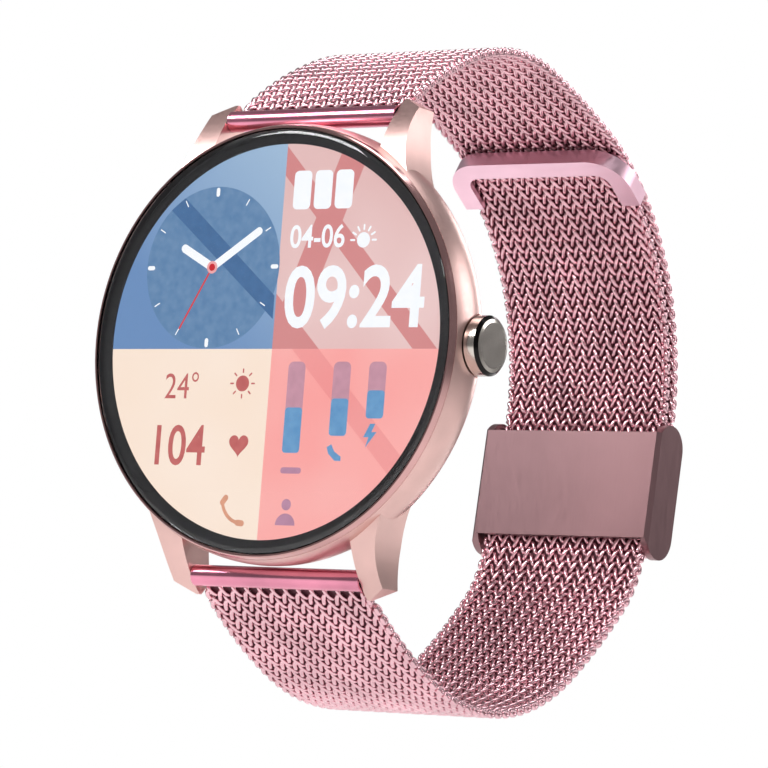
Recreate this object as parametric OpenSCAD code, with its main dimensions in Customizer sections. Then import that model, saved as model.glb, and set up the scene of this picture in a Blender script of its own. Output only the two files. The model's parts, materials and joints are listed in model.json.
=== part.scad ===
// Round smartwatch on a two-part woven mesh strap with a magnetic clasp.
// X runs to the crown, -Y to the display, +Z to the upper strap.
// The origin is the middle of the sensor window on the back. Units are mm.

// piece to draw, or all

/* [Watch case] */
// widest diameter of the case
case_d = 43.3; // [36:0.1:54]
// thickness from the glass to the sensor window
case_t = 10; // [8:0.1:13]
// black and clear glass disc, taken off the case radius all round
glass_inset = 0.85; // [0.7:0.05:1.2]
// wall left between the case side and the main bore
case_wall = 2.65; // [2.3:0.05:3.2]
// thickness of the cover glass
glass_t = 1.25; // [1:0.05:1.8]

/* [Crown] */
// diameter of the crown cap
crown_d = 5.8; // [4.6:0.1:7]
// length of the crown cap outside its recess floor
crown_len = 1.85; // [1.3:0.05:2.2]
// how far the crown presses in
crown_travel = 0.4; // [0.3:0.05:0.45]
// diameter of the crown stem
stem_d = 1.5; // [1.2:0.05:1.8]

/* [Lugs and spring bars] */
// gap between the two lugs of one side
lug_gap = 20; // [16:0.5:24]
// width of one lug
lug_w = 2.4; // [2:0.1:3]
// outside diameter of the polished strap end tube
strap_tube_d = 2.1; // [1.9:0.05:2.5]
// diameter of the thin end pins of a spring bar
pin_d = 0.8; // [0.65:0.05:0.9]
// how far a spring bar pin slides in
pin_travel = 1.2; // [1:0.05:1.4]

/* [Mesh strap] */
// width of the mesh
strap_w = 20.2; // [16.2:0.1:24.4]
// thickness of one layer of mesh
mesh_t = 1.05; // [0.85:0.05:1.3]
// size of the closed loop, front to back
loop_size = 61; // [50:1:74]
// how far the strap leans where it leaves the upper lugs
upper_lean = 42; // [38:1:48]
// how far the strap leans where it leaves the lower lugs
lower_lean = 42; // [38:1:48]

/* [Clasp] */
// length of the clasp plate along the strap
plate_len = 11.5; // [9:0.5:14]
// thickness of the clasp plate
plate_t = 0.9; // [0.8:0.05:1.2]
// thickness of one clasp ear
ear_t = 0.85; // [0.7:0.05:1.1]
// lean of the clasp against the case, in degrees
clasp_lean = 6.5; // [4:0.5:9]
// thickness of the steel keeper inside the fold
keeper_t = 0.45; // [0.4:0.05:0.6]

/* [Hidden] */
$fn = 96;
fit = 0.05;
gap = 0.1;
// straight runs are this much under size, so that they join bends cleanly
shy = 0.02;

// case stack, front to back
case_r = case_d / 2;
flank_y = -0.69 * case_t;
y_glass = -case_t;
y_front = y_glass + 0.7;
y_bond = y_glass + glass_t;
y_seat = y_bond + gap;
panel_t = 0.09 * case_t;
y_panel = y_bond + panel_t;
frame_t = 0.06 * case_t;
y_frame = y_panel + 0.1;
y_board = y_frame + frame_t + 0.1;
y_shoulder = y_panel + 0.4;
y_back = -0.3 * case_t;
y_cover = -0.14 * case_t;
y_bump = -0.05 * case_t;
glass_r = case_r - glass_inset;
bore_r = case_r - case_wall;
panel_r = glass_r - 0.7;
// inside parts are laid out on a 19 mm bore and follow the real bore
k = bore_r / 19;
kd = (y_cover - y_board) / 5.5;
front_round = 8.9;
back_round = 5;
boss_r = bore_r - 3.1;
boss_angles = [55, 125, 235, 305];
board_t = 0.7;
// crown stack
crown_y = -0.56 * case_t;
recess_r = crown_d / 2 + 0.15;
recess_x = case_r - 0.85;
cap_x = recess_x + crown_travel + fit;
stem_r = stem_d / 2;
tube_r = stem_r + 0.55;
stem_end_x = bore_r - 3.1;
clip_x = bore_r - 0.75;
// lugs and spring bars
lug_z = case_r + 1;
lug_y = -0.5 * case_t;
lug_x = lug_gap / 2;
strap_tube_r = strap_tube_d / 2;
strap_bore_r = strap_tube_r - 0.2;
bar_r = strap_bore_r - 0.07;
pin_r = pin_d / 2;
pin_reach = 1.2;
// strap path, side view, as [length, turn in degrees] from the lugs to the clasp
kl = loop_size / 61;
lower_arcs = [[15.8 * kl, 17.3], [13.8 * kl, 29.8], [13.8 * kl, 30.1], [12.4 * kl, 10]];
lower_turn = lower_arcs[0][1] + lower_arcs[1][1] + lower_arcs[2][1] + lower_arcs[3][1];
upper_turns = [-20, -38, -7.6];
upper_lens = [16, 14, 12];
lower_last = 90 - clasp_lean + lower_lean - lower_turn;
lower_last_len = 7.9 * kl;
lower_0 = [lug_y, -lug_z, -lower_lean];
lower_1 = step(lower_0, lower_arcs[0]);
lower_2 = step(lower_1, lower_arcs[1]);
lower_3 = step(lower_2, lower_arcs[2]);
lower_4 = step(lower_3, lower_arcs[3]);
lower_5 = step(lower_4, [lower_last_len, lower_last]);
// clasp frame: up the strap and out through it, with the layers measured from the plate face
clasp_up = [sin(clasp_lean), cos(clasp_lean)];
clasp_out = [cos(clasp_lean), -sin(clasp_lean)];
half_mesh = mesh_t / 2;
n_lower = plate_t + fit + half_mesh;
n_tail = n_lower + mesh_t + gap;
fold_r = half_mesh + keeper_t / 2 + 0.03;
n_fold = n_tail + fold_r;
n_outer = n_tail + 2 * fold_r;
ear_depth = n_outer + half_mesh + 0.45;
entry = plate_len / 2 + 0.5;
fold_drop = plate_len / 2 + 0.35;
clasp_0 = [lower_5[0], lower_5[1]] - n_lower * clasp_out + entry * clasp_up;
// the upper run is scaled, and its last bend sized, so that it meets the clasp square
upper_a = upper_lean;
run = step(step(step([0, 0, upper_a], [upper_lens[0], upper_turns[0]]),
    [upper_lens[1], upper_turns[1]]), [upper_lens[2], upper_turns[2]]);
last_a = -90 - clasp_lean;
bend = [sin(run[2]) - sin(last_a), cos(last_a) - cos(run[2])];
target = clasp_0 + n_outer * clasp_out + (entry + 0.4) * clasp_up - [lug_y, lug_z];
det = run[0] * bend[1] - run[1] * bend[0];
ku = (target[0] * bend[1] - target[1] * bend[0]) / det;
bend_r = (run[0] * target[1] - run[1] * target[0]) / det;
upper_arcs = [for (i = [0 : 2]) [upper_lens[i] * ku, upper_turns[i]]];
upper_0 = [lug_y, lug_z, upper_a];
upper_1 = step(upper_0, upper_arcs[0]);
upper_2 = step(upper_1, upper_arcs[1]);
upper_3 = step(upper_2, upper_arcs[2]);
bend_c = [upper_3[0] + bend_r * sin(upper_3[2]), upper_3[1] - bend_r * cos(upper_3[2])];
bend_a2 = upper_3[2] + 90;
bend_a1 = last_a + 90;
tail_r = bend_r - 2 * fold_r;
cap_len = 6.8;
cap_corner = 3.4;
// middle of the tail's rounded corners, along the tail from the middle of the trim
corner_y = cap_len / 2 - 0.8 - cap_corner;
tail_a2 = bend_a2 - 1.2 * 180 / (PI * bend_r);
knuckle_r = half_mesh + 0.03;
knuckle_run = 0.8;
narrow_r = 3.7;

// next point and heading after an arc of given length and turn
function step(p, s) = let (r = s[0] * 180 / (PI * s[1]), a = p[2], b = p[2] + s[1])
    [p[0] + r * (sin(b) - sin(a)), p[1] + r * (cos(a) - cos(b)), b];

// the same arc started a little earlier, for the rounded start
function before(p, s) = step(p, [-knuckle_run, -s[1] * knuckle_run / s[0]]);
function longer(s) = [s[0] + knuckle_run, s[1] * (1 + knuckle_run / s[0])];

// side view: drawn in (Y, Z), given a width along X
module side() {
    rotate([90, 0, 90])
        children();
}

// drawn about the Y axis: profile given as (radius, y)
module turned() {
    rotate([-90, 0, 0])
        rotate_extrude($fn = 180)
            children();
}

// round bar along X
module bar_x(x0, x1, r, y, z) {
    translate([x0, y, z])
        rotate([0, 90, 0])
            cylinder(h = x1 - x0, r = r);
}

// round post along Y
module post_y(y0, y1, r, x, z) {
    translate([x, y0, z])
        rotate([-90, 0, 0])
            cylinder(h = y1 - y0, r = r);
}

// box by its two corners
module block(a, b) {
    translate(a)
        cube(b - a);
}

// curved slab of mesh: centre, radius, from and to angle
module slab(c, r, a1, a2, w, t) {
    side()
        translate([c[0], c[1], 0])
            rotate([0, 0, a1])
                rotate_extrude(angle = a2 - a1, $fn = 240)
                    translate([r - t / 2, -w / 2])
                        square([t, w]);
}

// slab of mesh along one path step
module path_slab(p, s, w = strap_w, t = mesh_t) {
    r = s[0] * 180 / (PI * s[1]);
    c = [p[0] - r * sin(p[2]), p[1] + r * cos(p[2])];
    if (s[1] > 0)
        slab(c, r, p[2] - 90, p[2] + s[1] - 90, w, t);
    else
        slab(c, -r, p[2] + s[1] + 90, p[2] + 90, w, t);
}

// cuts the start of a strap piece round about its hinge line
module round_start(p) {
    side()
        translate([p[0], p[1], 0])
            rotate([0, 0, p[2]])
                difference() {
                    translate([-2, -2, -strap_w])
                        cube([2, 4, 2 * strap_w]);
                    translate([0, 0, -2 * strap_w])
                        cylinder(h = 4 * strap_w, r = knuckle_r, $fn = 48);
                }
}

// hollow left for the next piece at the end of a strap piece
module knuckle_space(p) {
    side()
        translate([p[0], p[1], -strap_w])
            rotate([0, 0, p[2]])
                cylinder(h = 2 * strap_w, r = knuckle_r + fit, $fn = 48);
}

// drawn in the clasp frame: (out from the plate face, up the strap), width along X
module in_clasp(w) {
    side()
        translate([clasp_0[0], clasp_0[1], -w / 2])
            rotate([0, 0, -clasp_lean])
                linear_extrude(height = w)
                    children();
}

// straight run of mesh in the clasp frame: middle of its thickness, from and to
module straight_run(n, v0, v1) {
    in_clasp(strap_w - shy)
        translate([n - half_mesh + shy / 2, v0])
            square([mesh_t - shy, v1 - v0]);
}

// --- watch case ---

module lug_shape() {
    tip_z = lug_z + 1.8;
    intersection() {
        translate([lug_y + 10.13, lug_z - 8.63])
            circle(r = 14, $fn = 360);
        polygon([[lug_y - 4, lug_z - 8.4], [lug_y + 0.2, lug_z - 8.4], [lug_y + 1.6, lug_z - 3.5],
            [lug_y + 2.3, tip_z - 1.1], [lug_y + 1.1, tip_z], [lug_y - 4, tip_z]]);
    }
}

// the lug seen from the front: it flares into the case and its tip is cut on a slant
module lug_plan() {
    flare_r = 16;
    difference() {
        polygon([[lug_x, lug_z - 8.4], [lug_x + lug_w + 3.4, lug_z - 8.4],
            [lug_x + lug_w + 3.4, lug_z - 1.2], [lug_x, lug_z + 2]]);
        translate([lug_x + lug_w + flare_r, lug_z + 0.35])
            circle(r = flare_r, $fn = 360);
    }
}

module lugs() {
    for (sx = [0, 1])
        for (sz = [0, 1])
            mirror([sx, 0, 0])
                mirror([0, 0, sz])
                    intersection() {
                        translate([lug_x - 1, 0, 0])
                            side()
                                linear_extrude(height = lug_w + 6)
                                    lug_shape();
                        rotate([90, 0, 0])
                            translate([0, 0, -2])
                                linear_extrude(height = case_t + 2)
                                    lug_plan();
                    }
}

module case_shell() {
    turned() {
        intersection() {
            translate([case_r - front_round, flank_y])
                circle(r = front_round, $fn = 240);
            translate([0, y_front])
                square([case_r + 1, flank_y - y_front]);
        }
        intersection() {
            translate([case_r - back_round, flank_y])
                circle(r = back_round, $fn = 240);
            translate([0, flank_y])
                square([case_r + 1, y_back - flank_y]);
        }
        translate([0, y_front])
            square([case_r - back_round, y_back - y_front]);
    }
}

module screw_bosses() {
    for (a = boss_angles)
        rotate([0, -a, 0]) {
            post_y(y_board, y_back - gap, 1.6, boss_r, 0);
            block([boss_r, y_board, -0.8], [bore_r + 0.3, y_back - 1.3, 0.8]);
        }
}

module case_body() {
    color([0.86, 0.7, 0.68])
        difference() {
            union() {
                difference() {
                    union() {
                        case_shell();
                        lugs();
                    }
                    post_y(y_shoulder, 1, bore_r, 0, 0);
                }
                screw_bosses();
            }
            post_y(y_glass - 1, y_seat, glass_r + 0.08, 0, 0);
            post_y(y_glass - 1, y_shoulder, panel_r + 0.1, 0, 0);
            bar_x(recess_x, case_r + 2, recess_r, crown_y, 0);
            bar_x(bore_r - 2, case_r + 2, tube_r + 0.01, crown_y, 0);
            for (sz = [-1, 1])
                for (sx = [-1, 1])
                    bar_x(sx > 0 ? lug_x - 1 : -lug_x - pin_reach - 0.2,
                        sx > 0 ? lug_x + pin_reach + 0.2 : -lug_x + 1,
                        pin_r + 0.05, lug_y, sz * lug_z);
            for (a = boss_angles)
                rotate([0, -a, 0])
                    post_y(y_back - 3.7, 1, 0.75, boss_r, 0);
        }
}

module bezel_ring() {
    inner = glass_r + 0.06;
    color([0.9, 0.76, 0.74])
        turned()
            polygon([[inner, y_front], [case_r - 0.36, y_front], [case_r - 0.5, y_glass + 0.2],
                [case_r - 0.62, y_glass + 0.05], [inner, y_glass + 0.05]]);
}

module cover_glass() {
    color([0.05, 0.05, 0.06])
        turned()
            polygon([[0, y_glass], [glass_r - 0.45, y_glass], [glass_r - 0.12, y_glass + 0.12],
                [glass_r, y_glass + 0.4], [glass_r, y_bond], [0, y_bond]]);
}

module glass_bond() {
    color([0.12, 0.12, 0.12])
        turned()
            translate([panel_r + 0.15, y_bond])
                square([glass_r - panel_r - 0.25, gap]);
}

module display_panel() {
    color([0.35, 0.5, 0.7])
        post_y(y_bond, y_panel, panel_r, 0, 0);
}

module display_flex() {
    foot = y_board + board_t;
    color([0.75, 0.5, 0.2]) {
        block([-4, y_panel, bore_r - 1], [4, foot + 0.15, bore_r - 0.85]);
        block([-4, foot, bore_r - 3.4], [4, foot + 0.15, bore_r - 1]);
    }
}

module inner_frame() {
    color([0.25, 0.25, 0.28])
        difference() {
            post_y(y_frame, y_frame + frame_t, bore_r - 0.1, 0, 0);
            block([-4.5, y_frame - 1, bore_r - 1.5], [4.5, y_frame + 2, bore_r + 1]);
            block([-4 * k, y_frame - 1, -5 * k], [4 * k, y_frame + 2, 5 * k]);
        }
}

module main_board() {
    color([0.1, 0.35, 0.2])
        difference() {
            post_y(y_board, y_board + board_t, bore_r - 0.5, 0, 0);
            block([-bore_r, y_board - 1, -bore_r], [bore_r, y_board + 2, 2.4 * k]);
            block([-4.5, y_board - 1, bore_r - 1.2], [4.5, y_board + 2, bore_r + 1]);
            for (a = [55, 125])
                rotate([0, -a, 0]) {
                    post_y(y_board - 1, y_board + 2, 1.8, boss_r, 0);
                    block([boss_r, y_board - 1, -1], [bore_r + 1, y_board + 2, 1]);
                }
        }
}

module shield_can() {
    y0 = y_board + board_t;
    color([0.75, 0.76, 0.78])
        difference() {
            block([-8 * k, y0, 3.6 * k], [5 * k, y0 + 1.4 * kd, 10.6 * k]);
            block([-8 * k + 0.2, y0 - 1, 3.6 * k + 0.2], [5 * k - 0.2, y0 + 1.4 * kd - 0.2, 10.6 * k - 0.2]);
        }
}

module microphone() {
    y0 = y_board + board_t;
    color([0.8, 0.75, 0.5])
        difference() {
            block([10 * k, y0, 4.2 * k], [13 * k, y0 + 1 * kd, 6.8 * k]);
            post_y(y0 + 0.5 * kd, y0 + 2, 0.3, 11.5 * k, 5.5 * k);
        }
}

module battery() {
    color([0.55, 0.57, 0.6])
        block([-15 * k, y_board, -10.4 * k], [7 * k, y_board + 3 * kd, 1.6 * k]);
}

module vibration_motor() {
    color([0.7, 0.7, 0.72])
        post_y(y_board, y_board + 2.6 * kd, 3.6 * k, 12 * k, -6.8 * k);
}

module speaker() {
    color([0.2, 0.2, 0.22])
        difference() {
            block([-6.3 * k, y_board, -16.4 * k], [6.3 * k, y_board + 2.6 * kd, -11.6 * k]);
            for (i = [-2 : 2])
                post_y(y_board + 2.2 * kd, y_board + 4, 0.45, i * 2 * k, -14 * k);
        }
}

module crown_switch() {
    x1 = stem_end_x - crown_travel - fit;
    color([0.15, 0.15, 0.16])
        block([x1 - 1.1, crown_y - 1.1, -2], [x1, crown_y + 1.1, 2]);
}

module switch_board() {
    x1 = stem_end_x - crown_travel - fit - 1.1;
    color([0.1, 0.4, 0.25])
        block([x1 - 0.5, crown_y - 1.1, -2.4], [x1, crown_y + 1.6, 2.3 * k]);
}

// --- back ---

module screw_spaces() {
    for (a = boss_angles)
        rotate([0, -a, 0]) {
            post_y(y_back - 1, 1, 0.8, boss_r, 0);
            post_y(y_cover - 0.75, 1, 1.45, boss_r, 0);
        }
}

module back_cover() {
    groove = 0.75;
    plug_r = bore_r - 0.1;
    window_r = 11.9 * k;
    color([0.8, 0.66, 0.64])
        difference() {
            turned()
                polygon([[0, y_back], [bore_r - 1.4, y_back], [bore_r - 1.4, y_back - 0.9],
                    [plug_r, y_back - 0.9], [plug_r, y_back - 0.75], [plug_r - groove, y_back - 0.75],
                    [plug_r - groove, y_back - 0.15], [plug_r, y_back - 0.15], [plug_r, y_back + 0.02],
                    [bore_r + 0.7, y_back + 0.02], [bore_r - 0.8, y_cover], [window_r + 2.2, y_cover],
                    [window_r + 1.3, y_bump], [0, y_bump]]);
            post_y(y_cover - 0.3, 1, window_r, 0, 0);
            post_y(y_back - 1, 1, window_r - 1.1, 0, 0);
            for (sx = [-1, 1])
                post_y(y_back - 1, 1, 1.05, sx * 2.6, -15.4 * k);
            screw_spaces();
        }
}

module back_gasket() {
    color([0.1, 0.1, 0.1])
        turned()
            translate([bore_r - 0.42, y_back - 0.45])
                circle(r = 0.27, $fn = 32);
}

module back_screws() {
    head_y = y_cover - 0.7;
    color([0.6, 0.6, 0.62])
        for (a = boss_angles)
            rotate([0, -a, 0])
                difference() {
                    union() {
                        post_y(y_back - 3.5, head_y, 0.68, boss_r, 0);
                        post_y(head_y, head_y + 0.6, 1.3, boss_r, 0);
                    }
                    block([boss_r - 0.9, head_y + 0.3, -0.15], [boss_r + 0.9, head_y + 2, 0.15]);
                    block([boss_r - 0.15, head_y + 0.3, -0.9], [boss_r + 0.15, head_y + 2, 0.9]);
                }
}

module sensor_window() {
    r = 11.9 * k - 0.06;
    color([0.08, 0.08, 0.1])
        turned()
            polygon([[0, y_cover - 0.25], [r, y_cover - 0.25], [r, -0.4], [r - 0.5, -0.1],
                [r - 1.3, 0], [0, 0]]);
}

module sensor_board() {
    color([0.1, 0.3, 0.35])
        post_y(y_back - 0.1, y_back + 0.4, 10.2 * k, 0, 0);
}

module sensor_leds() {
    y0 = y_back + 0.4;
    color([0.9, 0.95, 0.85])
        for (a = [0, 90, 180, 270])
            rotate([0, a, 0])
                block([3.2 * k, y0, -0.9], [5 * k, y0 + 0.6, 0.9]);
}

module charge_pins() {
    color([0.85, 0.7, 0.4])
        for (sx = [-1, 1]) {
            post_y(y_back - 0.4, y_cover - 0.1, 1, sx * 2.6, -15.4 * k);
        }
}

// --- crown ---

module crown_cap() {
    r = crown_d / 2;
    hollow = 0.85;
    color([0.72, 0.7, 0.68])
        translate([0, crown_y, 0])
            rotate([0, 90, 0])
                difference() {
                    rotate_extrude($fn = 120)
                        polygon([[0, cap_x], [r - 0.15, cap_x], [r, cap_x + 0.15],
                            [r, cap_x + crown_len - 0.4], [r - 0.3, cap_x + crown_len - 0.1],
                            [r - 0.7, cap_x + crown_len], [0, cap_x + crown_len]]);
                    translate([0, 0, cap_x - 1])
                        cylinder(h = 1 + hollow, r = r - 0.7);
                    translate([0, 0, cap_x - 1])
                        cylinder(h = 1 + hollow + 0.35, r = stem_r);
                }
}

module crown_stem() {
    groove_x = bore_r + 0.9;
    color([0.65, 0.65, 0.67])
        difference() {
            bar_x(stem_end_x, cap_x + 1.18, stem_r, crown_y, 0);
            ring_x(groove_x - 0.25, groove_x + 0.25, stem_r - 0.22, stem_r + 1);
            ring_x(clip_x - 0.2, clip_x + 0.2, stem_r - 0.2, stem_r + 1);
        }
}

// ring about the crown axis
module ring_x(x0, x1, r0, r1) {
    difference() {
        bar_x(x0, x1, r1, crown_y, 0);
        bar_x(x0 - 1, x1 + 1, r0, crown_y, 0);
    }
}

module crown_tube() {
    color([0.8, 0.65, 0.62])
        ring_x(bore_r + 0.1, recess_x, stem_r + 0.05, tube_r);
}

module crown_o_ring() {
    x = bore_r + 0.9;
    color([0.1, 0.1, 0.1])
        translate([x, crown_y, 0])
            rotate([0, 90, 0])
                rotate_extrude()
                    translate([stem_r - 0.1, 0])
                        circle(r = 0.11, $fn = 24);
}

module crown_clip() {
    color([0.6, 0.6, 0.62])
        difference() {
            ring_x(clip_x - 0.15, clip_x + 0.15, stem_r - 0.19, stem_r + 0.75);
            block([clip_x - 1, crown_y - 0.4, 0], [clip_x + 1, crown_y + 0.4, 4]);
        }
}

module crown_spring() {
    wire = 0.15;
    color([0.7, 0.7, 0.7])
        for (i = [0 : 2])
            translate([recess_x + wire + fit / 2 + i * 0.27, crown_y, 0])
                rotate([0, 90, 0])
                    rotate_extrude()
                        translate([tube_r + 0.4, 0])
                            circle(r = wire, $fn = 24);
}

// --- spring bars, drawn at the upper lugs ---

module at_lugs(upper) {
    mirror([0, 0, upper ? 0 : 1])
        children();
}

module bar_tube() {
    x1 = lug_x - 0.3;
    color([0.7, 0.7, 0.72])
        difference() {
            bar_x(-x1, x1, bar_r, lug_y, lug_z);
            bar_x(-x1 - 1, x1 + 1, pin_r + 0.05, lug_y, lug_z);
        }
}

module bar_spring() {
    x1 = lug_x - 4.3;
    color([0.6, 0.6, 0.6])
        difference() {
            bar_x(-x1, x1, pin_r, lug_y, lug_z);
            bar_x(-x1 - 1, x1 + 1, pin_r - 0.2, lug_y, lug_z);
        }
}

module bar_pin(sx) {
    x0 = lug_x - 4.3 + pin_travel + 0.1;
    x1 = lug_x + pin_reach;
    color([0.75, 0.75, 0.77])
        mirror([sx > 0 ? 0 : 1, 0, 0]) {
            bar_x(x0, x1 - 0.1, pin_r, lug_y, lug_z);
            bar_x(x1 - 0.1, x1, pin_r - 0.12, lug_y, lug_z);
        }
}

module strap_tube() {
    x1 = lug_x - 0.06;
    color([0.88, 0.6, 0.66])
        difference() {
            bar_x(-x1, x1, strap_tube_r, lug_y, lug_z);
            bar_x(-x1 - 1, x1 + 1, strap_bore_r, lug_y, lug_z);
        }
}

module upper_bar_tube() {
    at_lugs(true) bar_tube();
}

module lower_bar_tube() {
    at_lugs(false) bar_tube();
}

module upper_bar_spring() {
    at_lugs(true) bar_spring();
}

module lower_bar_spring() {
    at_lugs(false) bar_spring();
}

module upper_pin_crown() {
    at_lugs(true) bar_pin(1);
}

module upper_pin_far() {
    at_lugs(true) bar_pin(-1);
}

module lower_pin_crown() {
    at_lugs(false) bar_pin(1);
}

module lower_pin_far() {
    at_lugs(false) bar_pin(-1);
}

module upper_strap_tube() {
    at_lugs(true) strap_tube();
}

module lower_strap_tube() {
    at_lugs(false) strap_tube();
}

// --- mesh strap ---

// first piece of a strap: starts at the tube, narrow between the lugs
module first_mesh(p, s, q) {
    x1 = lug_x - 0.12;
    color([0.85, 0.58, 0.65])
        difference() {
            path_slab(p, s);
            bar_x(-strap_w, strap_w, strap_tube_r + 0.02, p[0], p[1]);
            bar_x(x1, strap_w, narrow_r, p[0], p[1]);
            bar_x(-strap_w, -x1, narrow_r, p[0], p[1]);
            knuckle_space(q);
        }
}

// middle piece of a strap: knuckle at its start, hollow at its end
module middle_mesh(p, s, q) {
    color([0.85, 0.58, 0.65])
        difference() {
            path_slab(before(p, s), longer(s));
            round_start(p);
            knuckle_space(q);
        }
}

module upper_mesh_1() {
    first_mesh(upper_0, upper_arcs[0], upper_1);
}

module upper_mesh_2() {
    middle_mesh(upper_1, upper_arcs[1], upper_2);
}

module upper_mesh_3() {
    middle_mesh(upper_2, upper_arcs[2], upper_3);
}

module upper_mesh_4() {
    ahead = knuckle_run * 180 / (PI * bend_r);
    color([0.85, 0.58, 0.65]) {
        difference() {
            slab(bend_c, bend_r, bend_a1, bend_a2 + ahead, strap_w, mesh_t);
            round_start(upper_3);
        }
        straight_run(n_outer, -fold_drop, entry + 0.6);
    }
}

module fold_mesh() {
    color([0.82, 0.55, 0.62]) {
        side()
            translate([clasp_0[0], clasp_0[1], 0])
                rotate([0, 0, -clasp_lean])
                    translate([n_fold, -fold_drop - 0.01, 0])
                        rotate([0, 0, 180])
                            rotate_extrude(angle = 180, $fn = 64)
                                translate([fold_r - half_mesh, -strap_w / 2])
                                    square([mesh_t, strap_w]);
        straight_run(n_tail, -fold_drop - 0.06, entry + 0.4);
    }
}

module tail_mesh() {
    color([0.85, 0.58, 0.65])
        difference() {
            slab(bend_c, tail_r, bend_a1 + 0.02, tail_a2 - 0.4, strap_w, mesh_t);
            on_tail_end()
                translate([0, 0, -2])
                    linear_extrude(height = 4)
                        difference() {
                            translate([-strap_w, corner_y + 0.3])
                                square([2 * strap_w, cap_len]);
                            translate([0, -0.8])
                                round_end(strap_w, -cap_len, cap_len / 2, cap_corner);
                        }
        }
}

// flat shape with its two far corners rounded: width, near end, far end, corner radius
module round_end(w, y0, y1, r) {
    intersection() {
        translate([-w / 2, y0])
            square([w, y1 - y0]);
        union() {
            translate([-w / 2, y0 - r])
                square([w, y1 - y0]);
            translate([-w / 2 + r, y0])
                square([w - 2 * r, y1 - y0]);
            for (sx = [-1, 1])
                translate([sx * (w / 2 - r), y1 - r])
                    circle(r = r, $fn = 64);
        }
    }
}

// drawn on the free end of the tail: x across, y to the free end, z away from the wrist
module on_tail_end() {
    a = tail_a2 - cap_len * 90 / (PI * tail_r);
    translate([0, bend_c[0] + tail_r * cos(a), bend_c[1] + tail_r * sin(a)])
        rotate([a - 90, 0, 0])
            mirror([0, 1, 0])
                children();
}

// U-shaped end trim clipped over the free end of the tail
module tail_end_cap() {
    half = cap_len / 2;
    inner = -half_mesh - 0.25;
    w = strap_w + 1.6;
    color([0.95, 0.78, 0.84])
        on_tail_end() {
            translate([0, 0, inner - 0.55])
                linear_extrude(height = 0.55)
                    difference() {
                        round_end(w, -half, half, 4);
                        translate([0, -2.1])
                            round_end(w - 4.4, -half, half, 1.5);
                    }
            translate([0, 0, inner - 0.01])
                linear_extrude(height = mesh_t + 0.25)
                    difference() {
                        round_end(w, -half, half, 4);
                        translate([0, -0.7])
                            round_end(strap_w + 0.12, -half, half, cap_corner);
                    }
        }
}

module fold_keeper() {
    color([0.6, 0.6, 0.62])
        in_clasp(strap_w - 0.4) {
            translate([n_fold - keeper_t / 2, -fold_drop])
                square([keeper_t, fold_drop + entry - 0.6]);
            translate([n_fold, -fold_drop])
                circle(r = keeper_t / 2, $fn = 32);
        }
}

module lower_mesh_1() {
    first_mesh(lower_0, lower_arcs[0], lower_1);
}

module lower_mesh_2() {
    middle_mesh(lower_1, lower_arcs[1], lower_2);
}

module lower_mesh_3() {
    middle_mesh(lower_2, lower_arcs[2], lower_3);
}

module lower_mesh_4() {
    middle_mesh(lower_3, lower_arcs[3], lower_4);
}

module lower_mesh_5() {
    s = [lower_last_len, lower_last];
    color([0.85, 0.58, 0.65]) {
        difference() {
            path_slab(before(lower_4, s), longer(s));
            round_start(lower_4);
        }
        straight_run(n_lower, -entry - 0.2, entry + 0.6);
    }
}

// --- clasp ---

module ear_shape() {
    top = plate_len / 2 + 1.2;
    bottom = plate_len / 2 + 1.9;
    r = ear_depth / 2;
    translate([r, top - r])
        circle(r = r);
    translate([r, -bottom + r])
        circle(r = r);
    translate([0, -bottom + r])
        square([ear_depth, top + bottom - 2 * r]);
}

module clasp_block() {
    inner = strap_w / 2 + 0.12;
    outer = inner + ear_t;
    chamfer = 0.45;
    pocket = plate_t - 0.45;
    color([0.68, 0.54, 0.55])
        difference() {
            union() {
                in_clasp(2 * outer)
                    translate([0, -plate_len / 2])
                        square([plate_t, plate_len]);
                for (sx = [-1, 1])
                    translate([sx * (inner + outer) / 2, 0, 0])
                        in_clasp(ear_t)
                            ear_shape();
            }
            for (sx = [-1, 1])
                plate_chamfer(sx, outer, chamfer);
            for (i = [-1 : 1])
                translate([i * 6, 0, 0])
                    in_clasp(5.1)
                        translate([pocket, -3.05])
                            square([2, 6.1]);
        }
}

// bevel where the plate meets an ear
module plate_chamfer(sx, outer, c) {
    translate([0, clasp_0[0], clasp_0[1]])
        rotate([-clasp_lean, 0, 0])
            translate([sx * outer, 0, 0])
                rotate([0, 0, 45])
                    cube([c * sqrt(2), c * sqrt(2), 40], center = true);
}

module clasp_magnets() {
    pocket = plate_t - 0.45;
    color([0.5, 0.5, 0.52])
        for (i = [-1 : 1])
            translate([i * 6, 0, 0])
                in_clasp(5)
                    translate([pocket + 0.02, -3])
                        square([0.4, 6]);
}

case_body();
bezel_ring();
cover_glass();
glass_bond();
display_panel();
display_flex();
inner_frame();
main_board();
shield_can();
microphone();
battery();
vibration_motor();
speaker();
crown_switch();
switch_board();
back_cover();
back_gasket();
back_screws();
sensor_window();
sensor_board();
sensor_leds();
charge_pins();
crown_cap();
crown_stem();
crown_tube();
crown_o_ring();
crown_clip();
crown_spring();
upper_bar_tube();
upper_bar_spring();
upper_pin_crown();
upper_pin_far();
lower_bar_tube();
lower_bar_spring();
lower_pin_crown();
lower_pin_far();
upper_strap_tube();
upper_mesh_1();
upper_mesh_2();
upper_mesh_3();
upper_mesh_4();
fold_mesh();
tail_mesh();
tail_end_cap();
fold_keeper();
lower_strap_tube();
lower_mesh_1();
lower_mesh_2();
lower_mesh_3();
lower_mesh_4();
lower_mesh_5();
clasp_block();
clasp_magnets();
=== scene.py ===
"""Looks for the round smartwatch: materials, the woven strap, the watch face, camera and light.

Lengths are in metres in the part's own frame: +X to the crown, -Y the way the display faces,
+Z to twelve o'clock. Sizes written with MM are in millimetres.
"""

import json
import math

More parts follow.
